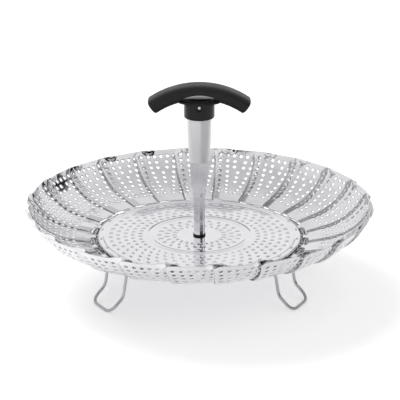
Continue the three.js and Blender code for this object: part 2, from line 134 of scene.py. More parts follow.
class PetalSettings(bpy.types.PropertyGroup):
    """Sizes of one petal, the same for all."""

    count: IntProperty(name="Petals", description="Petals round the plate", default=24, min=3)
    wall: length("Sheet", "Thickness of a petal's steel", 0.0005)
    shank: length("Shank", "Straight length next to the hinge", 0.0155)
    shank_slope: slant("Shank slope", "Rise of the shank", 11.3)
    bend_radius: length("Bend radius", "Radius of the bend along the petal", 0.0444)
    tip_slope: slant("Tip slope", "Slope at the rim", 63.5)
    root_over_top: length("Root overlap", "How far the upper side passes its sector at the root", 0.0010)
    root_over_tucked: length("Root tuck", "How far the tucked side passes its sector at the root", 0.0008)
    rim_over_top: length("Rim overlap", "How far the upper side passes its sector at the rim", 0.0042)
    rim_over_tucked: length("Rim tuck", "How far the tucked side passes its sector at the rim", 0.0068)
    root_roll: share("Root roll", "Rise per length across the root", 0.05)
    rim_roll: share("Rim roll", "Rise per length across the rim", 0.08)
    cross_radius: length("Hollow radius", "Radius of the hollow across the rim", 0.100)
    setback: length("Root setback", "Distance from the hinge line to the sheet's root", 0.0024)
    root_rise: length("Root rise", "Height of the sheet's root over the hinge line", 0.00136)
    hole: length("Hole", "Radius of a petal's holes", 0.00130)
    row_pitch: length("Row pitch", "Distance from row to row of holes", 0.00475)
    first_row: length("First row", "Distance from the rim to the first row of holes", 0.0053)
    rows: IntProperty(name="Rows", description="Rows of holes", default=9, min=1)
    first_column: length("First column", "Distance from the upper edge to the first column of holes", 0.0050)
    last_column: length("Last column", "Distance from the tucked edge to the last column of holes", 0.0046)
    column_pitch: length("Column pitch", "Distance between the two columns along a side edge", 0.0057)
    corner_wide: length("Corner width", "Width of the rounded rim corner", 0.0056)
    corner_deep: length("Corner depth", "Depth of the rounded rim corner", 0.0048)
    lap: length("Lap", "Width of the strip that is pressed down along the upper edge", 0.0068)
    lap_root: length("Lap at root", "How far the upper edge is pressed down at the root", 0.00028)
    lap_rim: length("Lap at rim", "How far the upper edge is pressed down at the rim", 0.00088)
    tab_at: length("Tab place", "Distance of the pressed rim tab from the upper edge", 0.0120)
    tab_half: length("Tab half width", "Half the width of the pressed rim tab", 0.0058)
    tab_deep: length("Tab depth", "How far the pressed tab reaches in from the rim", 0.0042)
    tab_rise: length("Tab rise", "How far the tab is pressed inwards", 0.0011)
    curl_half: length("Curl half width", "How far from its middle the root carries on as a curl", 0.0039)
    curl_radius: length("Curl radius", "Radius of the curl's middle line", 0.0015)


class PostSettings(bpy.types.PropertyGroup):
    """Sizes of the sliding post, heights measured from the plate."""

    rod: length("Rod radius", "Lowest section", 0.0041)
    # Painted shade: the black foot ring stands for the dark gap and shadow where the rod meets the plate
    foot: length("Foot radius", "Black ring round the rod on the plate", 0.0046)
    middle: length("Middle radius", "Widest part of the middle section, under its stop", 0.0068)
    outer: length("Outer radius", "Widest part of the top section", 0.00892)
    middle_start: length("Middle start", "Height where the middle section begins", 0.0310)
    outer_start: length("Outer start", "Height where the top section begins", 0.0575)
    collar_start: length("Collar start", "Height where the grip's collar begins", 0.0907)


class GripSettings(bpy.types.PropertyGroup):
    """Sizes of the black grip."""

    collar: length("Collar radius", "Round collar over the post", 0.0111)
    collar_height: length("Collar height", "Height up to the flange", 0.0113)
    flange_wide: length("Flange half width", "Half the oval flange's width", 0.0170)
    flange_deep: length("Flange half depth", "Half the oval flange's depth", 0.0111)
    flange_height: length("Flange height", "Thickness of the flange", 0.0024)
    pin_rise: length("Pin rise", "Height of the pins over the collar's foot", 0.0097)
    arch_radius: length("Arch radius", "Radius of the arch's middle line", 0.0585)
    arch_thick: length("Arch thickness", "Thickness of the arch's wings", 0.0110)
    arch_deep: length("Arch depth", "Depth of the arch from front to back", 0.0180)
    arch_span: slant("Arch half span", "Half the arch's angle", 36.3)
    arch_crown: length("Arch crown", "Thickness of the arch over the gap", 0.0069)
    arch_gap: length("Arch gap", "Room between the flange and the arch", 0.0044)
    gap_half: length("Gap half width", "Half the width of the gap under the arch", 0.0135)
    gap_radius: length("Gap radius", "Radius of the gap's upper side", 0.0300)


class LegSettings(bpy.types.PropertyGroup):
    """Sizes of the wire legs and the hinge wire."""

    wire: length("Leg wire", "Radius of the legs' wire", 0.00115)
    hinge_wire: length("Hinge wire", "Radius of the hinge wire", 0.0009)
    pivot_radius: length("Pivot radius", "Distance of a leg's pivot from the axis", 0.068)
    pivot_height: length("Pivot height", "Height of a leg's pivot over the floor", 0.0348)
    half: length("Half width", "Half the width of a leg", 0.0135)
    neck: length("Neck", "Height of the splayed neck", 0.024)
    splay: slant("Splay", "Outward lean of the neck", 10.4)
    foot_out: length("Foot", "How far the foot turns out", 0.011)
    corner: length("Foot corner", "Radius of the foot's corners", 0.008)
    azimuth: slant("Turn", "Turn of the first leg", -28.5)


class FinishSettings(bpy.types.PropertyGroup):
    """Colours of the finishes."""

    polished: colour("Polished steel", "Plate and post", (0.79, 0.79, 0.82))
    petal: colour("Petal steel", "Petals", (0.76, 0.76, 0.78))
    satin: colour("Satin steel", "Top tube, clips and nut", (0.84, 0.84, 0.85))
    wire: colour("Wire steel", "Legs and hinge wire", (0.44, 0.44, 0.45))
    grip: colour("Grip", "Satin black arch", (0.012, 0.012, 0.013))
    collar: colour("Collar", "Gloss black collar", (0.008, 0.008, 0.009))
    floor: colour("Floor", "Pale floor", (0.90, 0.90, 0.90))


def smoothstep(value):
    """Nought below nought, one above one, and an even S between them."""
    held = np.clip(value, 0, 1)
    return held * held * (3 - 2 * held)


def blend_between(first, last, portion):
    """A straight mix of two numbers."""
    return first + (last - first) * portion


def grid_faces(rows, columns, joined=False):
    """Four-cornered faces of a grid stored row by row; joined closes the last column onto the first."""
    across = columns if joined else columns - 1
    row, column = np.meshgrid(np.arange(rows - 1), np.arange(across), indexing="ij")
    beside = (column + 1) % columns
    start, onward = row * columns, (row + 1) * columns
    corners = [start + column, onward + column, onward + beside, start + beside]
    return np.stack(corners, axis=-1).reshape(-1, 4)


def tube_faces(rows, columns):
    """Faces of a grid whose columns are joined, and one more face over each end."""
    ends = [list(range(columns)), list(range((rows - 1) * columns, rows * columns))]
    return grid_faces(rows, columns, joined=True).tolist() + ends


def round_axis(radius, angle, height):
    """Points at a distance from the upright axis, an angle round it and a height."""
    return np.stack([radius * np.cos(angle), radius * np.sin(angle), height + 0 * angle], axis=-1)


def add_object(name, data):
    """Links a new object for some data into the scene."""
    made = bpy.data.objects.new(name, data)
    bpy.context.scene.collection.objects.link(made)
    return made


def make_piece(name, points, faces, material, outward=True, marks=None):
    """Puts points and faces into a mesh, joins doubled points, drops loose ones and shades it smooth.

    Marks are named numbers, one for each point, that the finish may read.
    """
    mesh = bpy.data.meshes.new(name)
    corners = np.asarray(points).reshape(-1, 3).tolist()
    mesh.from_pydata(corners, [], [list(map(int, face)) for face in faces])
    for label, values in (marks or {}).items():
        mark = mesh.attributes.new(label, "FLOAT", "POINT")
        mark.data.foreach_set("value", np.asarray(values, float).ravel())
    shell = bmesh.new()
    shell.from_mesh(mesh)
    bmesh.ops.remove_doubles(shell, verts=shell.verts, dist=2e-6)
    bmesh.ops.delete(shell, geom=[v for v in shell.verts if not v.link_faces], context="VERTS")
    if outward:
        bmesh.ops.recalc_face_normals(shell, faces=shell.faces)
    shell.to_mesh(mesh)
    shell.free()
    mesh.shade_smooth()
    mesh.materials.append(material)
    return add_object(name, mesh)


def capped_piece(name, shape, slot):
    """A piece made of a shape's points and faces, without those that have run flat at its poles."""
    points, faces = shape
    return make_piece(name, points, drop_flat(faces, points), finish_for(slot))


def settle(made, body, node=None):
    """Rides a piece on its body and hides the node that it stands for."""
    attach(made, body)
    if node:
        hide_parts(node)
    return made


def turned_about(points, angle):
    """The same points turned about the upright axis."""
    cosine, sine = math.cos(angle), math.sin(angle)
    x, y, z = np.moveaxis(np.asarray(points), -1, 0)
    return np.stack([x * cosine - y * sine, x * sine + y * cosine, z], axis=-1)


def rounded_path(corners, radii, steps):
    """A path through corners, each one replaced by a curve that starts and ends its radius away from it.

    The curve mixes start, corner and finish by (1-t)(1-t), 2t(1-t) and tt, with t running from nought to one.
    """
    corners = np.asarray(corners, float)
    t = np.linspace(0, 1, steps + 1)[:, None]
    runs = [corners[:1]]
    for before, corner, after, radius in zip(corners[:-2], corners[1:-1], corners[2:], radii):
        if radius <= 0:
            runs.append(corner[None])
            continue
        back, onward = before - corner, after - corner
        start = corner + back / np.linalg.norm(back) * radius
        finish = corner + onward / np.linalg.norm(onward) * radius
        runs.append((1 - t) ** 2 * start + 2 * t * (1 - t) * corner + t**2 * finish)
    return np.concatenate([*runs, corners[-1:]])


def softened(profile, steps, closed=True):
    """A profile of radius, height and rounding, with its corners rounded; closed joins its ends."""
    profile = np.array(profile, float)
    corners, rounding = profile[:, :2], profile[:, 2]
    if closed:
        return rounded_path(np.concatenate([corners[-1:], corners, corners[:1]]), rounding, steps)[1:-1]
    return rounded_path(corners, rounding[1:-1], steps)


def lathe(profile, sides=SIDES, closed=False):
    """Turns a profile of radius and height about the upright axis; points on the axis close its ends."""
    profile = np.asarray(profile, float)
    if closed:
        profile = np.concatenate([profile, profile[:1]])
    angle = np.arange(sides) * FULL_TURN / sides
    points = round_axis(profile[:, 0, None], angle, profile[:, 1, None])
    return points.reshape(-1, 3), grid_faces(len(profile), sides, joined=True)


def drop_flat(faces, points):
    """Leaves out faces whose corners have run together, as at a pole, and keeps those with three apart."""
    kept = []
    keys = np.round(points * 1e6).astype(int)
    for face in faces:
        seen, corners = set(), []
        for corner in face:
            key = tuple(keys[corner])
            if key not in seen:
                seen.add(key)
                corners.append(corner)
        if len(corners) > 2:
            kept.append(corners)
    return kept


def wire_along(path, radius, sides, reference, closed=False):
    """A round wire: a circle carried along the path, its two axes square to the path and to one direction."""
    path = np.asarray(path, float)
    if closed:
        tangent = np.roll(path, -1, axis=0) - np.roll(path, 1, axis=0)
    else:
        tangent = np.gradient(path, axis=0)
    tangent /= np.linalg.norm(tangent, axis=1)[:, None]
    side = np.cross(tangent, reference)
    side /= np.linalg.norm(side, axis=1)[:, None]
    other = np.cross(side, tangent)
    angle = (np.arange(sides) * FULL_TURN / sides)[None, :, None]
    points = path[:, None] + radius * (np.cos(angle) * side[:, None] + np.sin(angle) * other[:, None])
    points = points.reshape(-1, 3)
    if closed:
        return np.concatenate([points, points[:sides]]), grid_faces(len(path) + 1, sides, joined=True)
    return points, tube_faces(len(path), sides)


def add_node(nodes, kind, **values):
    """A new shader node with values on its sockets, named with a low line for each space."""
    made = nodes.new("ShaderNode" + kind)
    for name, value in values.items():
        made.inputs[name.replace("_", " ")].default_value = value
    return made


class Finish:
    """A material under construction: its nodes, its links and its one shader's sockets."""

    def __init__(self, name, base, metallic, roughness, specular=0.5):
        self.material = bpy.data.materials.new(name)
        self.material.use_nodes = True
        self.nodes, self.link = self.material.node_tree.nodes, self.material.node_tree.links.new
        self.base, self.bumped = tuple(base), None
        self.shader = self.nodes["Principled BSDF"].inputs
        self.shader["Base Color"].default_value = (*self.base, 1)
        self.shader["Metallic"].default_value = metallic
        self.shader["Roughness"].default_value = roughness
        self.shader["Specular IOR Level"].default_value = specular

    def noise(self, scale, detail, stretch=(1, 1, 1)):
        """Noise in object coordinates, stretched along an axis where its factor is under one."""
        place, turn = add_node(self.nodes, "TexCoord"), add_node(self.nodes, "Mapping", Scale=stretch)
        grain = add_node(self.nodes, "TexNoise", Scale=scale, Detail=detail)
        self.link(place.outputs["Object"], turn.inputs["Vector"])
        self.link(turn.outputs["Vector"], grain.inputs["Vector"])
        return grain.outputs["Fac"]

    def ranged(self, value, low, high, start=0.3, end=0.7):
        """Stretches a value from between start and end, the middle of a noise, to run from low to high."""
        spread = add_node(self.nodes, "MapRange", From_Min=start, From_Max=end, To_Min=low, To_Max=high)
        self.link(value, spread.inputs["Value"])
        return spread.outputs["Result"]

    def marked(self, label, reach, steep):
        """A height that grows with a number marked on the points and stays level past a reach."""
        mark = add_node(self.nodes, "Attribute")
        mark.attribute_name = label
        return self.ranged(mark.outputs["Fac"], 0.0, reach * steep, 0.0, reach)

    def vary_roughness(self, value, low, high):
        """Roughness that wanders between two values."""
        self.link(self.ranged(value, low, high), self.shader["Roughness"])

    def vary_colour(self, value, darkest):
        """The base colour, darkened towards a share of itself where the pattern is low."""
        mix = add_node(self.nodes, "Mix")
        mix.data_type = "RGBA"
        mix.inputs["A"].default_value = (*[part * darkest for part in self.base], 1)
        mix.inputs["B"].default_value = (*self.base, 1)
        self.link(self.ranged(value, 0.0, 1.0), mix.inputs["Factor"])
        self.link(mix.outputs["Result"], self.shader["Base Color"])

    def bump(self, value, distance):
        """Adds a bump on top of any bump already there."""
        rise = add_node(self.nodes, "Bump", Distance=distance, Strength=1.0)
        self.link(value, rise.inputs["Height"])
        if self.bumped:
            self.link(self.bumped, rise.inputs["Normal"])
        self.bumped = rise.outputs["Normal"]
        self.link(self.bumped, self.shader["Normal"])


def polished_steel(tints):
    """Mirror steel with faint dents and smudges."""
    made = Finish("polished steel", tints.polished, 1.0, 0.07)
    made.vary_roughness(made.noise(40, 4), 0.04, 0.12)
    made.bump(made.noise(45, 2), 0.00025)
    made.vary_colour(made.noise(90, 3), 0.93)
    return made.material


def petal_steel(tints):
    """Thin pressed steel whose polish ripples round its holes."""
    made = Finish("petal steel", tints.petal, 1.0, 0.10)
    made.vary_roughness(made.noise(60, 4), 0.06, 0.17)
    made.bump(made.noise(70, 2), 0.0004)
    made.bump(made.noise(260, 2), 0.00006)
    made.bump(made.marked("from edge", reach=0.0060, steep=0.55), 1.0)
    made.vary_colour(made.noise(120, 3), 0.90)
    return made.material


def lathed_steel(name, base, roughness, smoothest, roughest, drawn):
    """Steel with fine turned lines round it, which draw reflections out along a tube by a share."""
    made = Finish(name, base, 1.0, roughness)
    made.vary_roughness(made.noise(50, 3), smoothest, roughest)
    made.bump(made.noise(60, 2, (1, 1, 60)), 0.00001)
    made.vary_colour(made.noise(70, 3, (1, 1, 0.2)), 0.94)
    made.shader["Anisotropic"].default_value = drawn
    made.shader["Anisotropic Rotation"].default_value = 0.25
    return made.material


def satin_steel(tints):
    """Dull steel of the top tube, the clips and the nut."""
    return lathed_steel("satin steel", tints.satin, 0.38, 0.34, 0.42, 1.0)


def turned_steel(tints):
    """Bright steel of the rod and the middle tube."""
    return lathed_steel("turned steel", tints.polished, 0.12, 0.10, 0.15, 0.4)


def wire_steel(tints):
    """Drawn wire, a little dull."""
    made = Finish("wire steel", tints.wire, 1.0, 0.24)
    made.vary_roughness(made.noise(80, 3), 0.18, 0.32)
    made.bump(made.noise(400, 3), 0.00002)
    made.vary_colour(made.noise(150, 3), 0.88)
    return made.material


def satin_black(tints):
    """Black moulded grip with a fine even grain."""
    made = Finish("satin black", tints.grip, 0.0, 0.42, 0.26)
    made.vary_roughness(made.noise(90, 3), 0.36, 0.48)
    made.bump(made.noise(1800, 2), 0.00003)
    made.vary_colour(made.noise(60, 3), 0.75)
    return made.material


def gloss_black(tints):
    """Black gloss plastic with faint waves."""
    made = Finish("gloss black", tints.collar, 0.0, 0.14, 0.22)
    made.vary_roughness(made.noise(70, 3), 0.10, 0.20)
    made.bump(made.noise(60, 2), 0.00008)
    made.vary_colour(made.noise(80, 3), 0.8)
    return made.material


MAKERS = {
    "polished_steel": polished_steel,
    "petal_steel": petal_steel,
    "satin_steel": satin_steel,
    "turned_steel": turned_steel,
    "steel_wire": wire_steel,
    "satin_black": satin_black,
    "gloss_black": gloss_black,
}
made_finishes = {}


def finish_for(slot):
    """The finish of a slot, made the first time that it is asked for."""
    if slot not in made_finishes:
        made_finishes[slot] = MAKERS[slot](bpy.context.scene.steamer_finish)
    return made_finishes[slot]


def refinish(node, slot):
    """Gives a carried-over node a finish."""
    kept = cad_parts[node]
    kept.data.materials.clear()
    kept.data.materials.append(finish_for(slot))


def thicken(made, wall, offset):
    """Gives a sheet its thickness with crisp rims and smooths it once."""
    solid = made.modifiers.new("Sheet", "SOLIDIFY")
    solid.thickness, solid.offset = wall, offset
    solid.edge_crease_inner = solid.edge_crease_outer = 1.0
    smooth = made.modifiers.new("Smooth", "SUBSURF")
    smooth.levels = smooth.render_levels = 1


# Steps from a hole's middle to the eight grid points round it, in rows and columns
RING_STEPS = np.array([(-1, -1), (-1, 0), (-1, 1), (0, 1), (1, 1), (1, 0), (1, -1), (0, -1)])


def petal_length(p):
    """Length of a petal along its middle line: the shank and one bend."""
    return p.shank + p.bend_radius * (p.tip_slope - p.shank_slope)


def petal_line(p, along):
    """Out, high and slope of the middle line: straight for the shank's length, then one circular bend."""
    start = p.shank_slope
    shank = np.minimum(along, p.shank)
    slope = start + np.maximum(along - p.shank, 0) / p.bend_radius
    out = p.setback + shank * math.cos(start) + p.bend_radius * (np.sin(slope) - math.sin(start))
    high = p.root_rise + shank * math.sin(start) + p.bend_radius * (math.cos(start) - np.cos(slope))
    return out, high, slope


def petal_sides(p, along):
    """Half widths of the upper and the tucked side: the sector's own and an overlap that grows to the rim."""
    out, _, _ = petal_line(p, along)
    portion = along / petal_length(p)
    sector = (HINGE_RADIUS + out) * math.tan(math.pi / p.count)
    top = sector + blend_between(p.root_over_top, p.rim_over_top, portion)
    tucked = sector + blend_between(p.root_over_tucked, p.rim_over_tucked, portion)
    return top, tucked


def petal_surface(p, along, from_top):
    """Points of the first petal: the middle line, raised square to it by a roll and a hollow across it.

    Along the upper edge a strip is pressed down towards the next petal, more at the rim than at the root. A
    shallow tab, half an ellipse with soft sides, is pressed inwards at the rim. Near the rim both corners are
    drawn back along a quarter of an ellipse, the hidden one less.
    """
    rim_zone, hidden_share = 0.012, 0.7
    lap_power, tab_side = 1.4, 0.5
    top, tucked = petal_sides(p, along)
    across = top - from_top
    whole = petal_length(p)
    corner = np.clip(1 - from_top / p.corner_wide, 0, 1)
    hidden = np.clip(1 - (across + tucked) / p.corner_wide, 0, 1)
    drop = p.corner_deep * (1 - np.sqrt(1 - corner**2) + hidden_share * (1 - np.sqrt(1 - hidden**2)))
    along = along - drop * smoothstep((along - whole + rim_zone) / rim_zone)
    out, high, slope = petal_line(p, along)
    portion = along / whole
    roll = blend_between(p.root_roll, p.rim_roll, portion)
    rise = roll * across + portion * across**2 / (2 * p.cross_radius)
    lap = np.clip(1 - from_top / p.lap, 0, 1) ** lap_power
    rise = rise - blend_between(p.lap_root, p.lap_rim, portion) * lap
    away = np.hypot((from_top - p.tab_at) / p.tab_half, (whole - along) / p.tab_deep)
    rise = rise + p.tab_rise * smoothstep((1 - away) / tab_side)
    x, z = HINGE_RADIUS + out - np.sin(slope) * rise, HINGE_HEIGHT + high + np.cos(slope) * rise
    return np.stack([x, across, z], axis=-1)


def hole_layout(p):
    """Row by row from the rim: the edges of seven column groups, their middles, and which of them are holed.

    Two columns keep their distance from each side edge. The ones between them close up and end as it narrows.
    """
    at = petal_length(p) - p.first_row - p.row_pitch * np.arange(p.rows)
    width = sum(petal_sides(p, at))
    pitch = p.column_pitch
    thirds = (1 / 3, 1 / 3, 1 / 3)
    edges, middles, holed = [], [], []
    for row, wide in enumerate(width):
        first, last = p.first_column, wide - p.last_column
        if row == 0:
            shares, kept = thirds, (True, True, True)
        elif row < 3:
            shares, kept = (0.42, 0.16, 0.42), (True, False, True)
        elif row < 6:
            shares, kept = (0.2, 0.6, 0.2), (False, True, False)
        else:
            shares, kept = thirds, (False, False, False)
        inner, outer = first + 1.5 * pitch, last - 1.5 * pitch
        bounds = inner + (outer - inner) * np.concatenate([[0], np.cumsum(shares)])
        edges.append([0, first + pitch / 2, *bounds, last - pitch / 2, wide])
        middles.append([first, first + pitch, *(bounds[1:] + bounds[:-1]) / 2, last - pitch, last])
        holed.append([True, True, *kept, True, True])
    return at, width, np.array(edges), np.array(middles), np.array(holed)


def petal_points(p):
    """Grid of one petal in distance along and distance from its upper edge, and the faces outside its holes.

    The groups' edges and middles run straight from row to row. The points round each hole are moved onto a
    circle.
    """
    whole = petal_length(p)
    at, width, edges, middles, holed = hole_layout(p)
    quarter = p.row_pitch / 4
    root = np.linspace(0, at[-1] - 2 * quarter, 6)
    rim = [whole - 0.0014, whole - 0.0004, whole]
    along = np.sort(np.concatenate([root, at - quarter, at, at + quarter, at + 2 * quarter, rim]))
    order = np.argsort(at)

    def carried(columns):
        """Each column's share of the width, carried on from row to row."""
        return [np.interp(along, at[order], (column / width)[order]) for column in columns.T]

    bounds = carried(edges)
    lines = []
    for left, centre, right in zip(bounds, carried(middles), bounds[1:]):
        lines += [left, (left + centre) / 2, centre, (centre + right) / 2]
    lines.append(np.ones_like(along))
    from_top = np.stack(lines, axis=1) * sum(petal_sides(p, along))[:, None]
    span = np.repeat(along[:, None], from_top.shape[1], axis=1)
    open_cells = np.zeros((span.shape[0] - 1, span.shape[1] - 1), bool)
    ring = RING_STEPS / np.linalg.norm(RING_STEPS, axis=1)[:, None] * p.hole / SMOOTHED
    for row, group in zip(*np.nonzero(holed)):
        line, column = int(np.argmin(np.abs(along - at[row]))), 4 * group + 2
        spots = line + RING_STEPS[:, 0], column + RING_STEPS[:, 1]
        span[spots] = at[row] + ring[:, 0]
        from_top[spots] = middles[row, group] + ring[:, 1]
        open_cells[line - 1 : line + 1, column - 1 : column + 1] = True
    return span, from_top, grid_faces(*span.shape)[~open_cells.reshape(-1)]


def curl_patch(p, root):
    """The tongue that carries on from the middle of the root and wraps most of the way round the wire."""
    angle = np.radians(np.linspace(90, 330, 13))
    out = np.concatenate([[0.5 * p.setback], p.curl_radius * np.cos(angle)])
    high = np.concatenate([[p.root_rise + 0.0001], p.curl_radius * np.sin(angle)])
    rows = np.repeat(root[None], len(out) + 1, axis=0)
    rows[1:, :, 0] = HINGE_RADIUS + out[:, None]
    rows[1:, :, 2] = HINGE_HEIGHT + high[:, None]
    return rows


def build_petals():
    """The petals, each the first one turned about the axis."""
    p = bpy.context.scene.steamer_petal
    span, from_top, faces = petal_points(p)
    sheet = petal_surface(p, span, from_top)
    root = sheet[0]
    curl = curl_patch(p, root[np.abs(root[:, 1]) < p.curl_half])
    shape = np.concatenate([sheet.reshape(-1, 3), curl.reshape(-1, 3)])
    # The curl counts as so far from the edge that the finish is level there
    far = np.full(curl[..., 0].size, 0.02)
    marks = {"from edge": np.concatenate([from_top.ravel(), far])}
    curl_faces = grid_faces(*curl.shape[:2])[:, ::-1] + from_top.size
    every, steel = np.concatenate([faces, curl_faces]), finish_for("petal_steel")
    for number in range(p.count):
        body = f"petal_{number + 1:02d}"
        turned = turned_about(shape, number * FULL_TURN / p.count)
        made = make_piece(f"petal_sheet_{number + 1:02d}", turned, every, steel, False, marks)
        thicken(made, p.wall, 0.0)
        settle(made, body, body)


def plate_height(p, radius):
    """Height of the plate's top: flat, with a rounded bead, and a smooth step up to the border."""
    step_wide = 0.0015
    middle, half = (p.bead_outside + p.bead_inside) / 2, (p.bead_outside - p.bead_inside) / 2
    bead = p.bead_rise * np.clip(1 - ((radius - middle) / half) ** 2, 0, 1) ** 2
    return PLATE_TOP + bead + p.border_rise * smoothstep((radius - p.border) / step_wide)


def build_plate():
    """The perforated plate: a disc of rings and sectors, its holes made round, and the turned edge."""
    p = bpy.context.scene.steamer_plate
    petals = bpy.context.scene.steamer_petal.count
    slot_radius, slot_out, slot_round, lip_start = 0.0724, 0.0006, 0.0010, 0.07515
    flat = [*PLATE_CIRCLES, *(row + step for row, _, _ in PLATE_ROWS for step in (-1.5, 0, 1.5))]
    flat = np.sort(np.array(flat)) * MM
    edge = np.array(PLATE_EDGE) * MM
    radius = np.concatenate([flat, edge[:, 0]])
    height = np.concatenate([plate_height(p, flat), PLATE_TOP + edge[:, 1]])
    angle = np.arange(p.sectors) * FULL_TURN / p.sectors
    grid_r = np.repeat(radius[:, None], p.sectors, axis=1)
    grid_a = np.repeat(angle[None], len(radius), axis=0)
    open_cells = np.zeros((len(radius) - 1, p.sectors), bool)

    def punch(row_radius, count, cells, staggered, half_out, half_round):
        """Opens a row of holes: the grid points round each one are moved onto an ellipse."""
        line = int(np.argmin(np.abs(radius - row_radius)))
        pitch = p.sectors // count
        border = [(-1, s) for s in range(-cells, cells + 1)] + [(0, cells)]
        border += [(1, s) for s in range(cells, -cells - 1, -1)] + [(0, -cells)]
        steps = np.array(border)
        turn = np.arctan2(steps[:, 0], steps[:, 1] / cells)
        for index in range(count):
            column = index * pitch + staggered * pitch // 2
            spots = line + steps[:, 0], (column + steps[:, 1]) % p.sectors
            grid_r[spots] = row_radius + half_out * np.sin(turn)
            grid_a[spots] = column * FULL_TURN / p.sectors + half_round * np.cos(turn) / row_radius
            inside = (column + np.arange(-cells, cells)) % p.sectors
            open_cells[line - 1 : line + 1, inside] = True

    for number, (row_radius, count, cells) in enumerate(PLATE_ROWS):
        punch(row_radius * MM, count, cells, number % 2, p.hole / SMOOTHED, p.hole / SMOOTHED)
    punch(slot_radius, petals, 1, 1, slot_out, slot_round)
    faces = grid_faces(len(radius), p.sectors, joined=True)[~open_cells.reshape(-1)]
    points = round_axis(grid_r, grid_a, height[:, None])
    plate = make_piece("plate_disc", points, faces, finish_for("polished_steel"), outward=False)
    plate.data.materials.append(finish_for("satin_steel"))
    middles = np.empty(3 * len(plate.data.polygons))
    plate.data.polygons.foreach_get("center", middles)
    on_lip = np.hypot(middles[0::3], middles[1::3]) > lip_start
    plate.data.polygons.foreach_set("material_index", on_lip.astype(np.int32))
    thicken(plate, p.wall, -1.0)
    settle(plate, "base", "base_plate")
    tabs = make_piece("plate_wire_tabs", *wire_tabs(petals), finish_for("polished_steel"))
    settle(tabs, "base")


def wire_tabs(count):
    """Small hooks between the petals that hold the hinge wire, each a rounded channel of even thickness."""
    half, reach, wall, start = 0.0015, 0.0012, 0.0006, 0.0748
    corner = HINGE_RADIUS / math.cos(math.pi / count) + reach
    low, top = HINGE_HEIGHT - reach - wall, HINGE_HEIGHT + 0.001
    outside = rounded_path([(start, low), (corner + wall, low), (corner + wall, top)], [2 * wall], 5)
    inside = rounded_path([(corner, top), (corner, low + wall), (start, low + wall)], [wall], 5)
    section = np.concatenate([outside, inside])
    sides = len(section)
    points, faces = [], []
    for number in range(count):
        both = [np.column_stack([section[:, 0], np.full(sides, y), section[:, 1]]) for y in (-half, half)]
        points.append(turned_about(both, (number + 0.5) * FULL_TURN / count).reshape(-1, 3))
        faces += [[number * 2 * sides + index for index in face] for face in tube_faces(2, sides)]
    return np.concatenate(points), faces


def build_post():
    """The rod and the ring at its foot, the middle tube and the outer tube, each turned from a profile. The
    black ring at the foot is painted shade: a dark ring put where the rod meets the plate in shadow.

    A corner is its radius, its height over the section's start and its rounding, in millimetres.
    """
    p = bpy.context.scene.steamer_post
    wide, foot, middle, outer = p.rod / MM, p.foot / MM, p.middle / MM, p.outer / MM
    rod = [
        (0, -4.4, 0), (2.8, -4.4, 0.3), (2.8, -0.05, 0), (wide + 0.2, 0, 0.1), (wide + 0.2, 0.3, 0.1),
        (wide, 0.6, 0.1), (wide, 37.4, 0), (wide + 0.65, 37.4, 0.3), (wide + 0.65, 40.1, 0.5), (0, 40.1, 0),
    ]
    made = turned_piece("post_rod_turned", rod, 0, "turned_steel", closed=False)
    settle(made, "base", "post_rod")
    # Painted shade: a gloss black ring put where the rod's foot meets the plate in shadow
    ring = [(foot - 0.45, 0.02, 0.05), (foot, 0.02, 0.15), (foot, 1.3, 0.2), (foot - 0.45, 1.3, 0.1)]
    settle(turned_piece("post_foot_painted_shade_ring", ring, 0, "gloss_black"), "base")
    tube = [
        (4.4, 0, 0), (4.65, 0, 0.15), (4.75, 3.2, 1.5), (5.85, 9.5, 2.5), (middle, 18.0, 4.0),
        (middle, 36.6, 0), (middle + 0.7, 36.6, 0.3), (middle + 0.7, 39.4, 0.3), (middle - 0.5, 39.4, 0.3),
        (middle - 0.5, 18.2, 3.0), (4.95, 7.6, 0.6), (4.9, 5.8, 0.1), (4.4, 5.4, 0.1),
    ]
    made = turned_piece("middle_tube_turned", tube, p.middle_start, "turned_steel")
    settle(made, "middle", "middle_tube")
    tube = [
        (7.0, 0, 0.1), (7.35, 0, 0.15), (7.42, 2.5, 1.2), (8.15, 10.5, 3.0), (outer, 26.5, 6.0),
        (outer, 45.4, 0.2), (outer - 0.52, 45.4, 0.2), (outer - 0.52, 25.5, 6.0), (7.75, 10.5, 0.3),
        (7.7, 9.7, 0.2), (7.0, 9.1, 0.2),
    ]
    made = turned_piece("outer_tube_turned", tube, p.outer_start, "satin_steel")
    settle(made, "handle", "outer_tube")
    refinish("post_nut", "satin_steel")


def turned_piece(name, profile, start, finish, closed=True):
    """A piece turned from a profile in millimetres, whose heights count from its start over the plate."""
    soft = softened(profile, 4, closed) * MM + np.array([0, PLATE_TOP + start])
    made = capped_piece(name, lathe(soft, closed=closed), finish)
    made.data.set_sharp_from_angle(angle=SHARP)
    return made


def superellipse(turn, half_across, half_high, square):
    """A rounded box section: cosine and sine each raised to a power under one."""
    bow = np.sign(np.cos(turn)) * np.abs(np.cos(turn)) ** square
    rise = np.sign(np.sin(turn)) * np.abs(np.sin(turn)) ** square
    return half_across * bow, half_high * rise


def build_grip():
    """The collar with its oval flange, the arch on the flange's two ends, and the pins."""
    g = bpy.context.scene.steamer_grip
    base = PLATE_TOP + bpy.context.scene.steamer_post.collar_start
    collar = capped_piece("grip_collar_turned", collar_shape(g, base), "gloss_black")
    cut_recesses(collar, g.collar, base + g.pin_rise)
    collar.data.set_sharp_from_angle(angle=SHARP)
    settle(collar, "handle", "grip_collar")
    flange = capped_piece("grip_flange", flange_shape(g, base + g.collar_height), "gloss_black")
    settle(flange, "handle")
    arch = capped_piece("grip_arch_moulded", arch_shape(g, base), "satin_black")
    settle(arch, "handle", "grip_arch")
    for side, name in ((-1, "front"), (1, "back")):
        pin = capped_piece(f"grip_rivet_{name}", pin_shape(side, base + g.pin_rise), "satin_steel")
        settle(pin, "handle", f"grip_pin_{name}")


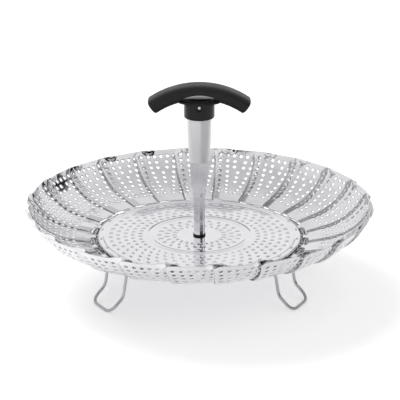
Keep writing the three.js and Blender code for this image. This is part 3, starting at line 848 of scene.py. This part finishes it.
def collar_shape(g, base):
    """A sleeve open below, turned from one profile: its outside, its top inside the flange, and its bore."""
    bore, wide = 0.0090, g.collar
    top = base + g.collar_height + 0.0012
    under_top = top - 0.0004
    profile = [
        (bore, base, 0.0002), (wide - 0.0004, base, 0.0009), (wide, base + 0.0010, 0.0005),
        (wide, top, 0.0001), (0, top, 0), (0, under_top, 0), (bore, under_top, 0.0001),
    ]
    return lathe(softened(profile, 5), closed=True)


def facing(points, side, start, height):
    """A turned shape laid over to point forwards or back from the axis, from a start at a height."""
    return np.stack([points[:, 0], side * (start + points[:, 2]), height + side * points[:, 1]], axis=-1)


def cut_recesses(collar, radius, height):
    """Takes a round recess out of the collar's front and back for the pins."""
    profile = [(0, -0.0012), (0.0024, -0.0012), (0.0026, 0.002), (0, 0.002)]
    points, faces = lathe(profile, 40)
    for side in (-1, 1):
        cutter = capped_piece("recess cutter", (facing(points, side, radius, height), faces), "gloss_black")
        cut = collar.modifiers.new("Recess", "BOOLEAN")
        cut.object = cutter
        cut.solver = "EXACT"
        bpy.context.view_layer.update()
        shown = collar.evaluated_get(bpy.context.evaluated_depsgraph_get())
        cut_mesh = bpy.data.meshes.new_from_object(shown)
        collar.modifiers.clear()
        collar.data = cut_mesh
        bpy.data.objects.remove(cutter)


def flange_shape(g, bottom):
    """An oval flange: a turned profile with a domed top, drawn narrower from front to back."""
    bore, wide, high = 0.0095, g.flange_wide, g.flange_height
    top, roof = bottom + high, bottom + 0.0003
    profile = [
        (bore, bottom, 0), (wide - 0.0012, bottom, 0.0006), (wide, bottom + high / 2, 0.0008),
        (wide - 0.0007, top, 0.0006), (0.0115, top + 0.00005, 0.002), (0.0058, top + 0.00052, 0.002),
        (0, top + 0.0007, 0),
    ]
    soft = np.concatenate([softened(profile, 5, closed=False), [(0, roof), (bore, roof)]])
    points, faces = lathe(soft, closed=True)
    points[:, 1] *= g.flange_deep / wide
    return points, faces


def arch_underside(g, rise, angle):
    """Distance from the arch's centre to its underside, along the ray at an angle from the upright, and to
    the underside of its wings.

    The wings keep the arch's thickness. Over the flange's ends the underside is flat. Between them it is a
    circle, met by the ray at h cos a + sqrt(R^2 - h^2 sin^2 a), with h the circle's height over the centre.
    """
    gap_soft, seat_soft = 0.0006, 0.0005
    wing = np.full_like(angle, g.arch_radius - g.arch_thick / 2)
    seat = rise / np.cos(angle)
    high = rise + g.arch_gap - g.gap_radius
    gap = high * np.cos(angle) + np.sqrt(g.gap_radius**2 - (high * np.sin(angle)) ** 2)
    out = wing * np.abs(np.sin(angle))
    under = seat + (gap - seat) * smoothstep((g.gap_half + gap_soft / 2 - out) / gap_soft)
    return wing + (under - wing) * smoothstep((g.flange_wide + 0.0008 - out) / seat_soft), wing


def arch_shape(g, base):
    """The arch: a rounded box section carried round a circle and drawn in at both ends.

    Under it a seat is taken out as wide as the flange, and the gap is taken out from front to back.
    """
    rounding, square, side_soft = 0.0022, 0.56, 0.0003
    flange_top = base + g.collar_height + g.flange_height
    top = g.arch_radius + g.arch_thick / 2
    centre = flange_top + g.arch_gap + g.arch_crown - top
    # Shares of the half span with closer steps, where the gap and the flange end
    closer = [side * np.linspace(*ends, 8) for side in (-1, 1) for ends in ((0.405, 0.435), (0.525, 0.56))]
    steps = np.sort(np.concatenate([np.sin(np.linspace(-math.pi / 2, math.pi / 2, 61)), *closer]))
    angle = steps * g.arch_span
    from_end = (1 - np.abs(steps)) * g.arch_span * g.arch_radius
    inset = np.maximum(rounding - from_end, 0)
    shrink = rounding - np.sqrt(np.maximum(rounding**2 - inset**2, 0))
    under, wing = arch_underside(g, flange_top - centre, angle)
    turn = np.arange(SIDES) * FULL_TURN / SIDES
    half_deep, half_high = g.arch_deep / 2 - shrink, (top - wing) / 2 - shrink
    across, high = superellipse(turn[None], half_deep[:, None], half_high[:, None], square)
    out = ((top + wing) / 2)[:, None] + high
    beside = wing * np.abs(np.sin(angle))
    seated = g.flange_deep * np.sqrt(np.clip(1 - (beside / g.flange_wide) ** 2, 0, 1)) + 0.0005
    seated = np.where(beside < g.gap_half + 0.0004, g.arch_deep, seated)
    cut = smoothstep((seated[:, None] - np.abs(across)) / side_soft) * (under > wing)[:, None]
    floor = under[:, None] + 0.0006 * (np.abs(across) / (g.arch_deep / 2)) ** 8
    out = np.where(out < floor, out + (floor - out) * cut, out)
    x, z = out * np.sin(angle)[:, None], centre + out * np.cos(angle)[:, None]
    return np.stack([x, across, z], axis=-1).reshape(-1, 3), tube_faces(len(steps), SIDES)


def pin_shape(side, height):
    """A domed pin that points forwards or back from inside the collar."""
    wide, inner_end = 0.0012, 0.0081
    points, faces = lathe(
        softened([(0, 0, 0), (wide, 0, 0.0001), (wide, 0.0022, 0.0005), (0, 0.0023, 0)], 5, closed=False), 32
    )
    return facing(points, side, inner_end, height), faces


def build_legs():
    """Three wire legs, their clips and the hinge wire."""
    w = bpy.context.scene.steamer_leg
    half_opening, bend, pressed = 0.0005, 0.003, 0.0002
    neck_out = w.neck * math.tan(w.splay)
    low = w.wire - pressed - w.pivot_height
    foot_out = neck_out + w.foot_out
    half = [(0, half_opening, 0), (0, w.half, 0), (neck_out, w.half, -w.neck), (foot_out, w.half, low)]
    mirrored = [(x, -y, z) for x, y, z in reversed(half)]
    path = rounded_path(half + mirrored, [bend, bend, w.corner, w.corner, bend, bend], 8)
    points, faces = wire_along(path, w.wire, 20, np.array([1.0, 0, 0.35]))
    # The foot's underside is pressed level with the floor
    points[:, 2] = np.maximum(points[:, 2], -w.pivot_height)
    for number in range(3):
        body = f"leg_{number + 1}"
        angle = w.azimuth + number * FULL_TURN / 3
        placed = turned_about(points + np.array([w.pivot_radius, 0, w.pivot_height]), angle)
        made = make_piece(f"leg_wire_{number + 1}", placed, faces, finish_for("steel_wire"))
        settle(made, body, body)
        refinish(f"leg_clip_{number + 1}", "satin_steel")
    turn = np.arange(240) * FULL_TURN / 240
    points, faces = wire_along(
        round_axis(HINGE_RADIUS, turn, HINGE_HEIGHT), w.hinge_wire, 12, np.array([0, 0, 1.0]), closed=True
    )
    made = make_piece("hinge_wire_ring", points, faces, finish_for("steel_wire"))
    settle(made, "base", "hinge_wire")


def lit_by_view(nodes, links):
    """One where the camera, a mirror or glass looks, and nought for other light."""
    path = add_node(nodes, "LightPath")
    seen = path.outputs["Is Camera Ray"]
    for ray in ("Is Glossy Ray", "Is Transmission Ray"):
        larger = add_node(nodes, "Math")
        larger.operation = "MAXIMUM"
        links.new(seen, larger.inputs[0])
        links.new(path.outputs[ray], larger.inputs[1])
        seen = larger.outputs[0]
    return seen


def softer_overhead(nodes, links):
    """One at the horizon, falling to a pale grey overhead, as a studio's walls and ceiling do."""
    place, parts = add_node(nodes, "TexCoord"), add_node(nodes, "SeparateXYZ")
    fall = add_node(nodes, "MapRange", From_Min=FALL_START, From_Max=FALL_END, To_Min=1.0, To_Max=OVERHEAD)
    fall.interpolation_type = "SMOOTHSTEP"
    links.new(place.outputs["Generated"], parts.inputs[0])
    links.new(parts.outputs["Z"], fall.inputs["Value"])
    return fall.outputs["Result"]


def studio_world():
    """White where it is seen or mirrored, softer as a light."""
    world = bpy.data.worlds.new("studio")
    world.use_nodes = True
    bpy.context.scene.world = world
    nodes, links = world.node_tree.nodes, world.node_tree.links
    nodes.clear()
    seen = add_node(nodes, "Background", Color=WHITE)
    light = add_node(nodes, "Background", Color=WHITE, Strength=WORLD_LIGHT)
    mix, out = add_node(nodes, "MixShader"), add_node(nodes, "OutputWorld")
    links.new(softer_overhead(nodes, links), seen.inputs["Strength"])
    links.new(lit_by_view(nodes, links), mix.inputs[0])
    links.new(light.outputs[0], mix.inputs[1])
    links.new(seen.outputs[0], mix.inputs[2])
    links.new(mix.outputs[0], out.inputs["Surface"])


def floor_finish():
    """Pale floor that is lifted to white where it is seen, and still takes the shadow."""
    material = bpy.data.materials.new("studio floor")
    material.use_nodes = True
    nodes, links = material.node_tree.nodes, material.node_tree.links
    nodes.clear()
    matt = add_node(nodes, "BsdfDiffuse", Color=(*bpy.context.scene.steamer_finish.floor, 1))
    glow, level = add_node(nodes, "Emission", Color=WHITE), add_node(nodes, "Math")
    level.operation = "MULTIPLY"
    level.inputs[1].default_value = FLOOR_LIFT
    both, out = add_node(nodes, "AddShader"), add_node(nodes, "OutputMaterial")
    links.new(lit_by_view(nodes, links), level.inputs[0])
    links.new(level.outputs[0], glow.inputs["Strength"])
    links.new(matt.outputs[0], both.inputs[0])
    links.new(glow.outputs[0], both.inputs[1])
    links.new(both.outputs[0], out.inputs["Surface"])
    return material


def dark_card(name, azimuth, elevation, wide, high):
    """A card that only polished surfaces see, facing the set from a direction, its size given as angles."""
    away, shade, middle = 1.05, 0.004, np.array([0, 0, 0.06])
    turn, lift = math.radians(azimuth), math.radians(elevation)
    towards = np.array([math.cos(turn) * math.cos(lift), math.sin(turn) * math.cos(lift), math.sin(lift)])
    sideways = np.array([-math.sin(turn), math.cos(turn), 0])
    upwards = np.cross(towards, sideways)
    across, tall = away * math.tan(math.radians(wide / 2)), away * math.tan(math.radians(high / 2))
    corners = np.array([(-across, -tall), (across, -tall), (across, tall), (-across, tall)])
    points = middle + away * towards + corners[:, :1] * sideways + corners[:, 1:] * upwards
    matt = Finish(name, (shade, shade, 1.1 * shade), 0.0, 0.9, 0.0).material
    card = make_piece(name, points, [[0, 1, 2, 3]], matt, outward=False)
    card.visible_camera = card.visible_diffuse = card.visible_shadow = False


def softbox(name, place, side, power):
    """A large soft lamp that shines at the set and isn't mirrored."""
    lamp = bpy.data.lights.new(name, "AREA")
    lamp.shape = "RECTANGLE"
    lamp.size = lamp.size_y = side
    lamp.energy = power
    holder = add_object(name, lamp)
    holder.visible_glossy = False
    holder.location = place
    holder.rotation_euler = (Vector(LAMP_TARGET) - Vector(place)).to_track_quat("-Z", "Y").to_euler()


def build_stage():
    """Floor, world, lamps, dark cards and the camera."""
    studio_world()
    corners = FLOOR_HALF * np.array([(-1, -1, 0), (1, -1, 0), (1, 1, 0), (-1, 1, 0)])
    floor = make_piece("studio_floor", corners, [[0, 1, 2, 3]], floor_finish(), outward=False)
    for name, values in LAMPS.items():
        softbox(name, *values)
    for name, values in DARK_CARDS.items():
        dark_card(name, *values)
    camera = bpy.data.cameras.new("camera")
    camera.lens, camera.sensor_width = 158.5, 36
    camera.shift_x, camera.shift_y = 0.00175, 0.0868
    camera.clip_start, camera.clip_end = 0.05, 20
    holder = add_object("camera", camera)
    height = PLATE_TOP + CAMERA_AWAY * math.sin(CAMERA_LIFT)
    holder.location = (0, -CAMERA_AWAY * math.cos(CAMERA_LIFT), height)
    holder.rotation_euler = (math.pi / 2 - CAMERA_LIFT, 0, 0)
    bpy.context.scene.camera = holder
    bpy.context.scene.view_settings.view_transform = "Standard"


class STEAMER_OT_plate(bpy.types.Operator):
    """Make the pressed plate and its wire tabs"""

    bl_idname = "steamer.plate"
    bl_label = "Plate"

    def execute(self, context):
        build_plate()
        return {"FINISHED"}


class STEAMER_OT_petals(bpy.types.Operator):
    """Make the perforated petals"""

    bl_idname = "steamer.petals"
    bl_label = "Petals"

    def execute(self, context):
        build_petals()
        return {"FINISHED"}


class STEAMER_OT_post(bpy.types.Operator):
    """Make the sliding post"""

    bl_idname = "steamer.post"
    bl_label = "Post"

    def execute(self, context):
        build_post()
        return {"FINISHED"}


class STEAMER_OT_grip(bpy.types.Operator):
    """Make the black grip"""

    bl_idname = "steamer.grip"
    bl_label = "Grip"

    def execute(self, context):
        build_grip()
        return {"FINISHED"}


class STEAMER_OT_legs(bpy.types.Operator):
    """Make the legs and the hinge wire"""

    bl_idname = "steamer.legs"
    bl_label = "Legs"

    def execute(self, context):
        build_legs()
        return {"FINISHED"}


class STEAMER_OT_stage(bpy.types.Operator):
    """Set up the floor, lamps and camera"""

    bl_idname = "steamer.stage"
    bl_label = "Stage"

    def execute(self, context):
        build_stage()
        return {"FINISHED"}


class STEAMER_PT_panel(bpy.types.Panel):
    """Lists the basket's operators"""

    bl_label = "Steamer basket"
    bl_idname = "STEAMER_PT_panel"
    bl_space_type = "VIEW_3D"
    bl_region_type = "UI"
    bl_category = "Steamer"

    def draw(self, context):
        for operator in OPERATORS:
            self.layout.operator(operator.bl_idname)


OPERATORS = (
    STEAMER_OT_stage,
    STEAMER_OT_plate,
    STEAMER_OT_petals,
    STEAMER_OT_post,
    STEAMER_OT_grip,
    STEAMER_OT_legs,
)
GROUPS = {
    "steamer_plate": PlateSettings,
    "steamer_petal": PetalSettings,
    "steamer_post": PostSettings,
    "steamer_grip": GripSettings,
    "steamer_leg": LegSettings,
    "steamer_finish": FinishSettings,
}


def register():
    """Registers the classes and puts the settings on the scene."""
    for group in (*GROUPS.values(), *OPERATORS, STEAMER_PT_panel):
        bpy.utils.register_class(group)
    for name, group in GROUPS.items():
        setattr(bpy.types.Scene, name, PointerProperty(type=group))


def unregister():
    """Takes the settings and classes away again."""
    for name in GROUPS:
        delattr(bpy.types.Scene, name)
    for group in reversed((*GROUPS.values(), *OPERATORS, STEAMER_PT_panel)):
        bpy.utils.unregister_class(group)


def main():
    """Makes everything in order."""
    register()
    bpy.ops.steamer.stage()
    bpy.ops.steamer.plate()
    bpy.ops.steamer.petals()
    bpy.ops.steamer.post()
    bpy.ops.steamer.grip()
    bpy.ops.steamer.legs()


if __name__ == "__main__":
    main()
